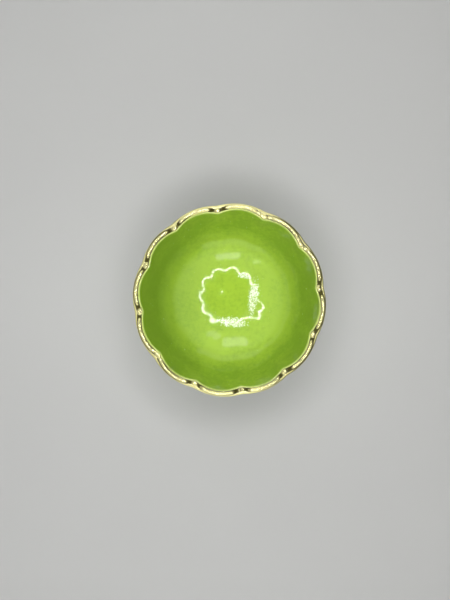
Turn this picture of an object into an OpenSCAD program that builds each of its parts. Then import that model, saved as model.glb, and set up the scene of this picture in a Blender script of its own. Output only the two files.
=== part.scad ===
// Footed bowl of glazed ceramic: a fluted bowl with a scalloped lip, luted with slip to a round collar
// and a hollow pedestal foot. A gilt scroll lies along every lobe of the lip, with an oval gilt bead
// in every notch. Millimetres, +Z up, origin on the table under the middle of the foot, a lobe on +X.

/* [Bowl] */
// Width across the lip, from a lobe to the opposite lobe
rim_width = 102; // [88:1:140]
// Height from the table to the top of the gilt relief
overall_height = 62; // [56:1:80]
// Number of lobes round the lip, each with one scroll and one bead
lobe_count = 12; // [8:2:16]
// How far a notch of the lip dips in from the lobes beside it, inside the bowl
notch_depth = 2.2; // [1.2:0.1:3.2]
// How far a notch dips in on the outside of the lip
outer_notch_depth = 1; // [0.4:0.1:1.2]
// Width of the lip, from the inside of the bowl to the outside
lip_width = 3.5; // [3:0.1:5]
// Radius that softens both edges of the lip
lip_edge = 0.3; // [0.2:0.05:0.5]
// Height of the thickened band under the lip
lip_band = 2.4; // [1.5:0.1:3.2]
// Thickness of the wall and of the underside
wall = 3; // [2.2:0.1:4]
// Lean of the wall from upright, in degrees
wall_lean = 18; // [10:1:24]
// Radius of the bend between the wall and the floor, inside
knuckle_radius = 18; // [10:1:22]
// Radius of the shallow hollow of the floor, inside
floor_radius = 105; // [80:5:160]
// Height of the middle of the floor above the table
floor_height = 26; // [24:0.5:30]
// How far the seat of the foot stands down from the middle of the underside
seat_drop = 1; // [0.6:0.1:2]
// Radius of the cove between the underside and the seat
neck_cove = 1.4; // [0.4:0.1:1.4]

/* [Foot] */
// Width across the foot, from a lobe to the opposite lobe
foot_width = 54; // [46:1:70]
// Width of the neck, where the foot, the collar and the bowl meet
neck_width = 28; // [24:1:36]
// Width of the hollow through the neck
hollow_width = 18; // [12:1:19]
// Height of the upright edge of the foot
edge_height = 2.6; // [2:0.1:4]
// Radius that softens the edge of the foot
edge_round = 0.7; // [0.3:0.1:0.9]
// Width of the flat ring that stands on the table, at a notch
standing_ring = 3.5; // [2.5:0.5:6]
// How far a notch of the foot dips in from the lobes beside it
foot_notch_depth = 1.3; // [0.6:0.1:1.8]

/* [Collar and slip] */
// Height of the collar
collar_height = 3.2; // [2.4:0.1:4.5]
// How far the round collar stands out from the neck
collar_reach = 1.8; // [1:0.1:2.2]
// Thickness of each layer of slip
slip_thickness = 0.4; // [0.2:0.1:0.8]
// How far the slip stays back from the edges of the faces that it joins
slip_inset = 0.3; // [0.1:0.1:0.6]

/* [Gilt relief] */
// Height of the scrolls above the lip
relief_height = 1.4; // [1:0.1:2.2]
// How far the line of the relief lies in from the middle of the lip
relief_inset = 0.15; // [0:0.05:0.3]
// Bare margin of the lip between a scroll and the inner edge
scroll_margin = 0.3; // [0.1:0.05:0.5]
// How far the round top of a scroll rises over its upright sides
scroll_crown = 0.44; // [0.2:0.02:0.6]
// Length over which a scroll comes down to the lip at each end
scroll_ramp = 2.8; // [1.2:0.1:5]
// Width of a bead
bead_width = 2.6; // [2:0.1:2.8]
// Length of a bead along the lip
bead_length = 4.4; // [3.4:0.1:6]
// How far the round top of a bead rises over its upright sides
bead_crown = 0.5; // [0.2:0.02:0.6]
// How much lower a bead is than the scrolls
bead_drop = 0.3; // [0:0.05:0.4]
// Gap between a scroll and the bead beside it
relief_gap = 0.1; // [0.05:0.05:0.5]

/* [Hidden] */
// Smoothness of the turned pieces
$fn = 96;
// Facets along one lobe of the bowl and of the foot
bowl_facets = 10;
foot_facets = 8;
// Steps along the floor, the bend, the wall and the cove of the bowl, and down the sweep of the foot
floor_steps = 4;
knuckle_steps = 9;
wall_steps = 2;
cove_steps = 3;
sweep_steps = 9;
// Steps along a scroll and along a bead, and across both
scroll_steps = 16;
bead_steps = 12;
section_steps = 8;

lobe_step = 360 / lobe_count;
half_step = lobe_step / 2;

// Heights of the stack, from the top down
lip_z = overall_height - relief_height;
seat_z = floor_height - wall - seat_drop;
collar_top = seat_z - slip_thickness;
collar_bottom = collar_top - collar_height;
foot_top = collar_bottom - slip_thickness;

// Radii, at a lobe where there are lobes
outer_crest = rim_width / 2;
inner_crest = outer_crest - lip_width;
neck_r = neck_width / 2;
hollow_r = hollow_width / 2;
foot_r = foot_width / 2;
ring_inner = foot_r - edge_round - foot_notch_depth - standing_ring;

// Every lobe of the lip is an arc, drawn here along the line of the relief
relief_crest = outer_crest - lip_width / 2 - relief_inset;
relief_notch = relief_crest - notch_depth;
lobe_rise = relief_crest - relief_notch * cos(half_step);
lobe_half_chord = relief_notch * sin(half_step);
lobe_radius = (pow(lobe_rise, 2) + pow(lobe_half_chord, 2)) / (2 * lobe_rise);
lobe_centre = relief_crest - lobe_radius;
lobe_half_angle = asin(lobe_half_chord / lobe_radius);

// The wall leans in from the lip, and an arc tangent to it and to the hollow floor bends them together
wall_top = [inner_crest, lip_z - lip_edge];
wall_run = [-sin(wall_lean), -cos(wall_lean)];
wall_out = [cos(wall_lean), -sin(wall_lean)];
floor_centre = [0, floor_height + floor_radius];
bend_start = wall_top - knuckle_radius * wall_out - floor_centre;
bend_along = bend_start * wall_run;
bend_reach = floor_radius - knuckle_radius;
wall_length = sqrt(pow(bend_along, 2) - bend_start * bend_start + pow(bend_reach, 2)) - bend_along;
knuckle_centre = wall_top - knuckle_radius * wall_out + wall_length * wall_run;
bend_end = atan2(knuckle_centre.y - floor_centre.y, knuckle_centre.x);

// The outside keeps the wall's thickness, from under the lip band down to the cove at the seat
outer_wall_top = wall_top + wall * wall_out + 2 * lip_band * wall_run;
outer_wall_end = on_arc(knuckle_centre, knuckle_radius + wall, -wall_lean);
cove_r = neck_r + neck_cove;
underside_end = asin(cove_r / (floor_radius + wall)) - 90;
cove_centre = on_arc(floor_centre, floor_radius + wall, underside_end) - [0, neck_cove];

// A scroll follows the arc of its lobe, and stops short of the beads at both ends
scroll_width = lip_width - 2 * (lip_edge + scroll_margin + relief_inset);
scroll_half_angle = lobe_half_angle - (bead_length / 2 + relief_gap) / lobe_radius * 180 / PI;

// A bead lies in the notch, a little further out so that it stays on the lip
bead_centre = relief_notch + bead_length / 4 * tan(lobe_half_angle - half_step);
bead_height = relief_height - bead_drop;

function two_digits(i) = str(i < 10 ? "0" : "", i);
function scroll_name(i) = str("rim_scroll_", two_digits(i));
function bead_name(i) = str("rim_bead_", two_digits(i));

function on_arc(centre, radius, angle) = centre + radius * [cos(angle), sin(angle)];
function along(from, to, share) = from + (to - from) * share;

// Share of the notch depth at an angle: 0 on a lobe, 1 in a notch
function scallop(angle) =
    let (a = angle - lobe_step * round(angle / lobe_step))
    let (r = lobe_centre * cos(a) + sqrt(pow(lobe_radius, 2) - pow(lobe_centre * sin(a), 2)))
    (relief_crest - r) / notch_depth;

// The flutes of the bowl fade from the lip down to the middle of the floor
function flute_depth(z) = notch_depth * min(1, max(0, (z - floor_height) / (lip_z - floor_height)));
// The flutes of the foot fade from its edge up to the neck
function foot_flute_depth(z) = foot_notch_depth * min(1, (foot_top - z) / (foot_top - edge_height));

// The bowl's outline from the middle of the floor, up inside, over the lip and down to the seat
function bowl_inside() = concat(
    [for (i = [1 : floor_steps])
        on_arc(floor_centre, floor_radius, along(-90, bend_end, i / floor_steps))],
    [for (i = [1 : knuckle_steps])
        on_arc(knuckle_centre, knuckle_radius, along(bend_end, -wall_lean, i / knuckle_steps))],
    [for (i = [1 : wall_steps]) wall_top + wall_length * (1 - i / wall_steps) * wall_run]
);
function lip_inside() = [
    on_arc([inner_crest + lip_edge, lip_z - lip_edge], lip_edge, 135),
    [inner_crest + lip_edge, lip_z]
];
function lip_outside() = [
    [outer_crest - lip_edge, lip_z],
    on_arc([outer_crest - lip_edge, lip_z - lip_edge], lip_edge, 45),
    [outer_crest, lip_z - lip_edge],
    [outer_crest, lip_z - lip_band]
];
function bowl_outside() = concat(
    [for (i = [0 : wall_steps - 1]) along(outer_wall_top, outer_wall_end, i / wall_steps)],
    [for (i = [0 : knuckle_steps - 1])
        on_arc(knuckle_centre, knuckle_radius + wall, along(-wall_lean, bend_end, i / knuckle_steps))],
    [for (i = [0 : floor_steps])
        on_arc(floor_centre, floor_radius + wall, along(bend_end, underside_end, i / floor_steps))],
    [for (i = [1 : cove_steps]) on_arc(cove_centre, neck_cove, along(90, 180, i / cove_steps))],
    [[neck_r, seat_z]]
);
// Each point of an outline is a radius at a lobe, a height, and the depth of the notches there
function bowl_outline() = concat(
    [for (p = concat(bowl_inside(), lip_inside())) [p.x, p.y, flute_depth(p.y)]],
    [for (p = lip_outside()) [p.x, p.y, outer_notch_depth]],
    [for (p = bowl_outside()) [p.x, p.y, flute_depth(p.y)]]
);

// The foot's outline from the top of the neck, down the sweep, under the standing ring and up the hollow
function foot_sweep(angle) = [
    along(neck_r, foot_r - edge_round, 1 - cos(angle)),
    along(foot_top, edge_height, sin(angle))
];
function foot_edge() = [
    on_arc([foot_r - edge_round, edge_height - edge_round], edge_round, 45),
    [foot_r, edge_height - edge_round],
    [foot_r, edge_round],
    on_arc([foot_r - edge_round, edge_round], edge_round, -45),
    [foot_r - edge_round, 0]
];
function foot_hollow(angle) = [
    along(hollow_r, ring_inner, 1 - cos(angle)),
    along(foot_top, 0, sin(angle))
];
function foot_outline() = concat(
    [for (i = [0 : sweep_steps])
        let (p = foot_sweep(90 * i / sweep_steps)) [p.x, p.y, foot_flute_depth(p.y)]],
    [for (p = foot_edge()) [p.x, p.y, foot_notch_depth]],
    [for (i = [0 : sweep_steps]) let (p = foot_hollow(90 * (1 - i / sweep_steps))) [p.x, p.y, 0]]
);

// One ring of corners: an outline point carried round the axis, dipping in at every notch
function ring(point, sides) = [
    for (i = [0 : sides - 1])
        let (a = 360 * i / sides, r = point.x - point.z * scallop(a))
        [r * cos(a), r * sin(a), point.y]
];
// The faces between one ring of corners and another
function band(first, second, sides) = [
    for (i = [0 : sides - 1])
        let (j = (i + 1) % sides)
        [first * sides + i, first * sides + j, second * sides + j, second * sides + i]
];

// The section of a scroll or a bead: a round top that rises by crown, on upright sides
function relief_section(width, height, crown) =
    let (half = width / 2, radius = (pow(half, 2) + pow(crown, 2)) / (2 * crown))
    let (span = asin(half / radius), centre = [0, height - radius])
    concat(
        [[half, 0]],
        [for (i = [0 : section_steps])
            on_arc(centre, radius, along(90 - span, 90 + span, i / section_steps))],
        [[-half, 0]]
    );
// The section at a place along a scroll, from -90 to 90: full in the middle, low at both ends
function scroll_ring(place) =
    let (a = scroll_half_angle * sin(place))
    let (from_end = (scroll_half_angle - abs(a)) * PI / 180 * lobe_radius)
    let (rise = 1 - pow(1 - min(1, from_end / scroll_ramp), 1.25))
    [for (p = relief_section(scroll_width, relief_height, scroll_crown))
        let (r = lobe_radius + p.x) [lobe_centre + r * cos(a), r * sin(a), lip_z + rise * p.y]];
function scroll_tip(side) =
    let (a = side * scroll_half_angle)
    [lobe_centre + lobe_radius * cos(a), lobe_radius * sin(a), lip_z];

// The section at a place along a bead, from -90 to 90: an oval seen from above, low at both ends
function bead_ring(place) = [
    for (p = relief_section(bead_width, bead_height, bead_crown))
        [p.x * cos(place), bead_length / 2 * sin(place), p.y * pow(cos(place), 2)]
];

// A solid through rings of corners, closed at both ends by a point
module skin_to_points(rings, start, end) {
    sides = len(rings[0]);
    last = (len(rings) - 1) * sides;
    start_corner = len(rings) * sides;
    corners = concat([for (r = rings) each r], [start, end]);
    start_fan = [for (i = [0 : sides - 1]) [start_corner, (i + 1) % sides, i]];
    bands = [for (k = [0 : len(rings) - 2]) each band(k, k + 1, sides)];
    end_fan = [for (i = [0 : sides - 1]) [start_corner + 1, last + i, last + (i + 1) % sides]];
    polyhedron(corners, concat(start_fan, bands, end_fan), convexity = 6);
}

// A solid through rings of corners, the last joined to the first
module skin_to_itself(rings) {
    sides = len(rings[0]);
    bands = [for (k = [0 : len(rings) - 1]) each band(k, (k + 1) % len(rings), sides)];
    polyhedron([for (r = rings) each r], bands, convexity = 6);
}

module slip_layer(bottom_z) {
    color("ivory") translate([0, 0, bottom_z]) difference() {
        cylinder(r = neck_r - slip_inset, h = slip_thickness);
        translate([0, 0, -slip_thickness]) cylinder(r = hollow_r + slip_inset, h = 3 * slip_thickness);
    }
}

module foot() {
    sides = lobe_count * foot_facets;
    color("olivedrab") skin_to_itself([for (p = foot_outline()) ring(p, sides)]);
}

module foot_slip() {
    slip_layer(foot_top);
}

module neck_collar() {
    bulge_r = (pow(collar_height / 2, 2) + pow(collar_reach, 2)) / (2 * collar_reach);
    color("goldenrod") translate([0, 0, collar_bottom]) rotate_extrude() {
        translate([hollow_r, 0]) square([neck_r - hollow_r, collar_height]);
        intersection() {
            translate([neck_r + collar_reach - bulge_r, collar_height / 2]) circle(bulge_r);
            translate([neck_r, 0]) square([2 * collar_reach, collar_height]);
        }
    }
}

module bowl_slip() {
    slip_layer(collar_top);
}

module bowl() {
    sides = lobe_count * bowl_facets;
    rings = [for (p = bowl_outline()) ring(p, sides)];
    color("yellowgreen") skin_to_points(rings, [0, 0, floor_height], [0, 0, seat_z]);
}

module rim_scroll(i) {
    rings = [for (k = [1 : scroll_steps - 1]) scroll_ring(along(-90, 90, k / scroll_steps))];
    color("gold") rotate(lobe_step * (i - 1)) skin_to_points(rings, scroll_tip(-1), scroll_tip(1));
}

module rim_bead(i) {
    rings = [for (k = [1 : bead_steps - 1]) bead_ring(along(-90, 90, k / bead_steps))];
    tip = [0, bead_length / 2, 0];
    color("gold") rotate(lobe_step * (i - 1) + half_step) translate([bead_centre, 0, lip_z])
        skin_to_points(rings, -tip, tip);
}

foot();
foot_slip();
neck_collar();
bowl_slip();
bowl();
for (i = [1 : lobe_count]) {
    rim_scroll(i);
    rim_bead(i);
}
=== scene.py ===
"""Dresses the footed bowl: a small fluted bowl of green glazed ceramic on a hollow pedestal foot.

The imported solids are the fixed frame. Each of them is replaced by a finer mesh of the same size in the
same place, with its own finish, and the bowl stands on a pale table, seen from straight above.
"""

import logging
import math
import random
from dataclasses import dataclass
from enum import Enum
from functools import cached_property
from typing import Any, NamedTuple, Sequence

import bmesh
import bpy
from bmesh.types import BMEdge, BMesh, BMVert
from bpy.types import Material, Node, NodeSocket, NodeTree, Object
from mathutils import Matrix, Vector, noise


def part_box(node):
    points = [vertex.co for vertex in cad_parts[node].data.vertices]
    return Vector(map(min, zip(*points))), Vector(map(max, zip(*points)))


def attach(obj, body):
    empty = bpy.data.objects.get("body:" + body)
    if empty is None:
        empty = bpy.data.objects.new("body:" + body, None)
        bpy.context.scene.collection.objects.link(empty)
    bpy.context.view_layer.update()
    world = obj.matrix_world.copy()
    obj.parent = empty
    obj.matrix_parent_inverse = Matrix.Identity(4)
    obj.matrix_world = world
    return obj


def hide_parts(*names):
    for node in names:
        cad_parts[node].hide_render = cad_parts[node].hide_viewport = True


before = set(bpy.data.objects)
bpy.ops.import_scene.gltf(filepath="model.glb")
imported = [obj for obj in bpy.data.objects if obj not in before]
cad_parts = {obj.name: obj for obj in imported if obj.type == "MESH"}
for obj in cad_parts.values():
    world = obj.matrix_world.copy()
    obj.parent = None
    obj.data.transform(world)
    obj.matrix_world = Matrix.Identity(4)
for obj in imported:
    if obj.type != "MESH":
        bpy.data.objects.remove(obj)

log = logging.getLogger("footed_bowl")

MM = 0.001
FULL_TURN = math.tau
RIGHT_ANGLE = math.pi / 2
WELD = 1e-7
TINY = 1e-6
SOFT_EDGE_START = 0.75
SOFT_EDGE_WIDTH = 0.5
BODY = "root"

Colour = tuple[float, float, float]
Range = tuple[float, float]


class Slot(Enum):
    """The record's material slots that a piece can take its finish from."""

    GREEN_GLAZE = "green_glaze"
    GILDING = "gilding"
    FIRED_SLIP = "fired_slip"


class Mark(Enum):
    """What a finish needs to know at each point of a mesh, kept as attributes of the mesh."""

    NOTCH = "notch_depth"
    GILT = "gilt_inset"
    RIDGE = "ridge"
    BARE = "bare_inset"
    # Painted shade: how much the gilding is darkened here to stand for shade and dark reflections, 0 to
    # 1.
    PAINTED_SHADE = "shade_mark"


# Shapes that several pieces share


class OutlinePoint(NamedTuple):
    """One point of a turned outline.

    Attributes:
        radius: Distance from the axis on a lobe, in metres.
        height: Height above the table, in metres.
        notch: How far the notches dip in here, in metres.
        gilt: Distance inside the painted gilt band, in millimetres; negative outside it.
        ridge: How far a notch stands up as a ridge, 1, or sinks as a groove, -1.
        bare: Distance inside the unglazed clay, in millimetres; negative outside it.
    """

    radius: float
    height: float
    notch: float = 0.0
    gilt: float = -9.0
    ridge: float = 0.0
    bare: float = -9.0


@dataclass(frozen=True)
class Lobes:
    """The scalloped line of the lip: equal arcs that meet in notches.

    Attributes:
        crest: Radius of the middle of the lip at a lobe.
        notch_depth: How far a notch dips in from the lobes beside it.
        count: Number of lobes.
        cusp: Angle over which the glaze softens a notch.
    """

    crest: float
    notch_depth: float = 2.2 * MM
    count: int = 12
    cusp: float = math.radians(0.9)

    @cached_property
    def step(self) -> float:
        """Angle from one lobe to the next."""
        return FULL_TURN / self.count

    @cached_property
    def notch(self) -> float:
        """Radius of the middle of the lip in a notch."""
        return self.crest - self.notch_depth

    @cached_property
    def arc_radius(self) -> float:
        """Radius of the arc of one lobe."""
        rise = self.crest - self.notch * math.cos(self.step / 2)
        half_chord = self.notch * math.sin(self.step / 2)
        return (rise**2 + half_chord**2) / (2 * rise)

    @cached_property
    def arc_centre(self) -> float:
        """Distance of a lobe's own centre from the axis of the bowl."""
        return self.crest - self.arc_radius

    @cached_property
    def half_angle(self) -> float:
        """Half the angle of a lobe's arc, about its own centre."""
        return math.asin(self.notch * math.sin(self.step / 2) / self.arc_radius)

    def dip(self, angle: float) -> float:
        """Finds how far the line has dipped towards a notch.

        Args:
            angle: Angle about the axis of the bowl.

        Returns:
            0 on a lobe, nearly 1 in a notch.
        """
        from_lobe = abs(angle - self.step * round(angle / self.step))
        from_notch = math.hypot(self.step / 2 - from_lobe, self.cusp) - self.cusp / 2
        folded = self.step / 2 - from_notch
        reach = self.arc_centre * math.cos(folded)
        reach += math.sqrt(self.arc_radius**2 - (self.arc_centre * math.sin(folded)) ** 2)
        return (self.crest - reach) / self.notch_depth


@dataclass(frozen=True)
class HandFinish:
    """The slight wander of ware that is cast, sponged and decorated by hand.

    Attributes:
        wander: Largest shift of a point.
        sag: Share of it that goes down; no point moves up.
        scale: Distance over which the shift changes.
        seed: Number that the wander is drawn from.
    """

    wander: float = 0.1 * MM
    sag: float = 0.5
    scale: float = 19 * MM
    seed: int = 4

    def shift(self, shape: BMesh) -> None:
        """Moves every point of a shape a little; neighbouring pieces move together.

        Args:
            shape: The mesh to move, in place on the object.
        """
        noise.seed_set(self.seed)
        for corner in shape.verts:
            drift = noise.noise_vector(corner.co / self.scale)
            drift.z = -self.sag * abs(drift.z)
            corner.co += self.wander * drift


def clamp(value: float) -> float:
    """Keeps a share between 0 and 1."""
    return min(1.0, max(0.0, value))


def beyond_edge(distance: float) -> float:
    """Tells how far a place lies beyond a soft edge at distance 1: 0 within it, 1 outside."""
    return clamp((distance - SOFT_EDGE_START) / SOFT_EDGE_WIDTH)


def within_edge(distance: float) -> float:
    """Tells how far a place lies within a soft edge at distance 1: 1 within it, 0 outside."""
    return clamp((SOFT_EDGE_START + SOFT_EDGE_WIDTH - distance) / SOFT_EDGE_WIDTH)


def crown_radius(half: float, crown: float) -> float:
    """Finds the radius of a round top from half its width and how far it rises."""
    return (half**2 + crown**2) / (2 * crown)


def arc(centre: Vector, radius: float, start: float, end: float, steps: int) -> list[Vector]:
    """Lists the points along an arc in the outline's plane, both ends included."""
    angles = (start + (end - start) * i / steps for i in range(steps + 1))
    return [centre + radius * Vector((math.cos(a), math.sin(a))) for a in angles]


def straight(start: Vector, end: Vector, steps: int) -> list[Vector]:
    """Lists the points along a straight stretch, without its two ends."""
    return [start.lerp(end, i / steps) for i in range(1, steps)]


def fade(first: float, last: float, steps: int) -> list[float]:
    """Lists the values of a size that changes evenly along a straight stretch, without its ends."""
    return [first + (last - first) * i / steps for i in range(1, steps)]


def run_lengths(points: Sequence[Vector]) -> list[float]:
    """Measures how far along an outline each of its points lies.

    Args:
        points: The outline.

    Returns:
        The distance of each point from the first, along the outline.
    """
    lengths = [0.0]
    for before, after in zip(points, points[1:]):
        lengths.append(lengths[-1] + (after - before).length)
    return lengths


def angle_of(corner: BMVert) -> float:
    """Gives a corner's angle about the axis of the bowl."""
    return math.atan2(corner.co.y, corner.co.x)


def draw_in(corner: BMVert, share: float) -> None:
    """Moves a corner to a share of its distance from the axis."""
    corner.co.x *= share
    corner.co.y *= share


def move(shape: BMesh, way: Sequence[float]) -> None:
    """Moves a whole shape."""
    bmesh.ops.translate(shape, verts=shape.verts, vec=way)


def turn(shape: BMesh, angle: float) -> None:
    """Turns a whole shape about the axis."""
    bmesh.ops.rotate(shape, verts=shape.verts, matrix=Matrix.Rotation(angle, 3, "Z"))


def spin(shape: BMesh, angle: float, steps: int) -> None:
    """Spins the corners and edges of a shape about the axis; a full turn closes on itself.

    Args:
        shape: The shape, which is still a line.
        angle: Angle of the spin.
        steps: Number of its steps.
    """
    bmesh.ops.spin(
        shape,
        geom=shape.verts[:] + shape.edges[:],
        axis=(0, 0, 1),
        cent=(0, 0, 0),
        angle=angle,
        steps=steps,
        use_merge=angle == FULL_TURN,
    )


def turned(outline: Sequence[OutlinePoint], sides: int, closed: bool) -> BMesh:
    """Spins an outline about the axis, with the marks of its points.

    Args:
        outline: The outline's points.
        sides: Number of sides of the turned shape.
        closed: Whether the last point joins the first.

    Returns:
        A mesh whose faces point outwards.
    """
    shape = bmesh.new()
    layers = {mark: shape.verts.layers.float.new(mark.value) for mark in Mark}
    corners = []
    for point in outline:
        corner = shape.verts.new((point.radius, 0.0, point.height))
        corner[layers[Mark.NOTCH]] = point.notch
        corner[layers[Mark.GILT]] = point.gilt
        corner[layers[Mark.RIDGE]] = point.ridge
        corner[layers[Mark.BARE]] = point.bare
        corners.append(corner)
    for pair in zip(corners, corners[1:]):
        shape.edges.new(pair)
    if closed:
        shape.edges.new((corners[-1], corners[0]))
    spin(shape, FULL_TURN, sides)
    bmesh.ops.remove_doubles(shape, verts=shape.verts, dist=WELD)
    bmesh.ops.recalc_face_normals(shape, faces=shape.faces)
    return shape


def scallop(shape: BMesh, lobes: Lobes) -> None:
    """Draws a turned shape in towards its notches.

    Args:
        shape: The turned mesh, with its notch depths.
        lobes: The scalloped line.
    """
    depth = shape.verts.layers.float[Mark.NOTCH.value]
    ridge = shape.verts.layers.float[Mark.RIDGE.value]
    for corner in shape.verts:
        radius = corner.co.xy.length
        if radius < WELD:
            continue
        dip = lobes.dip(angle_of(corner))
        corner[ridge] *= dip
        draw_in(corner, 1 - corner[depth] * dip / radius)


def mesh_object(name: str, shape: BMesh, material: Material) -> Object:
    """Turns a finished mesh into a smooth object of the scene.

    Args:
        name: Name of the object.
        shape: Its mesh, in place; it is used up.
        material: Its finish.

    Returns:
        The object.
    """
    for face in shape.faces:
        face.smooth = True
    mesh = bpy.data.meshes.new(name)
    shape.to_mesh(mesh)
    shape.free()
    mesh.materials.append(material)
    made = bpy.data.objects.new(name, mesh)
    bpy.context.scene.collection.objects.link(made)
    return made


def make_piece(name: str, shape: BMesh, node: str, material: Material) -> Object:
    """Makes a piece that stands for a solid of the frame.

    Args:
        name: Name of the piece.
        shape: Its mesh, in place; it is used up.
        node: The solid that it stands for.
        material: Its finish.

    Returns:
        The piece, riding with the object.
    """
    piece = mesh_object(name, shape, material)
    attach(piece, BODY)
    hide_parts(node)
    return piece


# Finishes


class Wiring:
    """Adds nodes to one node tree and joins their sockets."""

    def __init__(self, tree: NodeTree) -> None:
        """Starts on a tree, which is emptied."""
        self.tree = tree
        self.tree.nodes.clear()

    def feed(self, socket: NodeSocket, value: Any) -> None:
        """Joins a socket to another, or sets its value.

        Args:
            socket: The input to feed.
            value: An output socket, a number, a vector or a colour.
        """
        if isinstance(value, NodeSocket):
            self.tree.links.new(value, socket)
        elif socket.type == "RGBA":
            socket.default_value = (*value, 1.0)
        else:
            socket.default_value = value

    def feed_all(self, node: Node, feeds: dict[str, Any]) -> None:
        """Feeds several sockets of a node, by name."""
        for name, value in feeds.items():
            self.feed(node.inputs[name], value)

    def node(self, kind: str, feeds: dict[str, Any] | None = None, **settings: Any) -> Node:
        """Adds a node.

        Args:
            kind: The node's type.
            feeds: What feeds its sockets, by name.
            **settings: Properties of the node.

        Returns:
            The new node.
        """
        made = self.tree.nodes.new(kind)
        for name, value in settings.items():
            setattr(made, name, value)
        self.feed_all(made, feeds or {})
        return made

    def group(self, group: NodeTree, **feeds: Any) -> Node:
        """Places a node group and feeds its sockets, by name."""
        return self.node("ShaderNodeGroup", feeds, node_tree=group)

    def sum_node(self, kind: str, operation: str, values: Sequence[Any]) -> Node:
        """Adds a sum.

        Args:
            kind: The node's type.
            operation: The kind of sum.
            values: What feeds its sockets, in order.

        Returns:
            The new node.
        """
        made = self.node(kind, operation=operation)
        for socket, value in zip(made.inputs, values):
            self.feed(socket, value)
        return made

    def math(self, operation: str, *values: Any) -> NodeSocket:
        """Adds a sum of numbers and gives its result."""
        return self.sum_node("ShaderNodeMath", operation, values).outputs["Value"]

    def vector(self, operation: str, *values: Any) -> NodeSocket:
        """Adds a sum of vectors and gives the vector that comes out."""
        return self.sum_node("ShaderNodeVectorMath", operation, values).outputs["Vector"]

    def measure(self, operation: str, *values: Any) -> NodeSocket:
        """Adds a sum of vectors and gives the number that comes out."""
        return self.sum_node("ShaderNodeVectorMath", operation, values).outputs["Value"]

    def plus(self, base: Any, value: Any, factor: Any) -> NodeSocket:
        """Adds a value, times a factor, to a base."""
        return self.math("MULTIPLY_ADD", value, factor, base)

    def rest(self, share: Any) -> NodeSocket:
        """Gives what a share leaves of the whole."""
        return self.math("SUBTRACT", 1.0, share)

    def mixed(self, kind: str, label: str, share: Any, first: Any, second: Any) -> NodeSocket:
        """Mixes two values.

        Args:
            kind: The node's data type.
            label: How its sockets name that type.
            share: How much of the second.
            first: The first value.
            second: The second value.

        Returns:
            The mixed value's socket.
        """
        made = self.node("ShaderNodeMix", data_type=kind)
        sockets = {socket.identifier: socket for socket in [*made.inputs, *made.outputs]}
        feeds = {"Factor_Float": share, f"A_{label}": first, f"B_{label}": second}
        for name, value in feeds.items():
            self.feed(sockets[name], value)
        return sockets[f"Result_{label}"]

    def mix(self, share: Any, first: Any, second: Any) -> NodeSocket:
        """Mixes two colours, with a share of the second."""
        return self.mixed("RGBA", "Color", share, first, second)

    def blend(self, share: Any, first: Any, second: Any) -> NodeSocket:
        """Mixes two numbers, with a share of the second."""
        return self.mixed("FLOAT", "Float", share, first, second)

    def ramp(self, value: Any, low: Any, high: Any) -> NodeSocket:
        """Rises smoothly from 0 to 1 as a value goes from a low number to a high one."""
        feeds = {"Value": value, "From Min": low, "From Max": high}
        return self.node("ShaderNodeMapRange", feeds, interpolation_type="SMOOTHSTEP").outputs["Result"]

    def place(self) -> NodeSocket:
        """Gives the place on the object, in metres."""
        return self.node("ShaderNodeTexCoord").outputs["Object"]

    def mark(self, mark: Mark) -> NodeSocket:
        """Reads a mark of the mesh."""
        return self.node("ShaderNodeAttribute", attribute_name=mark.value).outputs["Fac"]

    def noise(
        self, scale: Any, detail: float = 2.0, roughness: float = 0.5, distortion: float = 0.0
    ) -> NodeSocket:
        """Adds a cloudy value from 0 to 1.

        Args:
            scale: Clouds per metre.
            detail: Octaves of finer clouds.
            roughness: Strength of the finer clouds.
            distortion: How much the clouds are stirred.

        Returns:
            The value's socket.
        """
        feeds = {
            "Vector": self.place(),
            "Scale": scale,
            "Detail": detail,
            "Roughness": roughness,
            "Distortion": distortion,
        }
        return self.node("ShaderNodeTexNoise", feeds).outputs["Fac"]

    def bump(self, shader: Node, height: NodeSocket, distance: float, strength: float = 1.0) -> None:
        """Bumps a shader's surface by a height, of which 1 stands for the distance."""
        feeds = {"Height": height, "Distance": distance, "Strength": strength}
        self.feed(shader.inputs["Normal"], self.node("ShaderNodeBump", feeds).outputs["Normal"])


def new_group(name: str, inputs: Sequence[str], outputs: Sequence[str]) -> tuple[Wiring, Node, Node]:
    """Starts a shader node group whose sockets are all numbers.

    Args:
        name: The group's name.
        inputs: Names of its inputs.
        outputs: Names of its outputs.

    Returns:
        The group's wiring, its input node and its output node.
    """
    tree = bpy.data.node_groups.new(name, "ShaderNodeTree")
    for way, labels in (("INPUT", inputs), ("OUTPUT", outputs)):
        for label in labels:
            tree.interface.new_socket(label, in_out=way, socket_type="NodeSocketFloat")
    wiring = Wiring(tree)
    return wiring, wiring.node("NodeGroupInput"), wiring.node("NodeGroupOutput")


def new_material(name: str, kind: str = "ShaderNodeBsdfPrincipled") -> tuple[Material, Wiring, Node]:
    """Starts a material with one shader.

    Args:
        name: The material's name.
        kind: The shader's type.

    Returns:
        The material, its wiring and its shader.
    """
    material = bpy.data.materials.new(name)
    material.use_nodes = True
    wiring = Wiring(material.node_tree)
    shader = wiring.node(kind)
    wiring.node("ShaderNodeOutputMaterial", {"Surface": shader.outputs[0]})
    return material, wiring, shader


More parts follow.
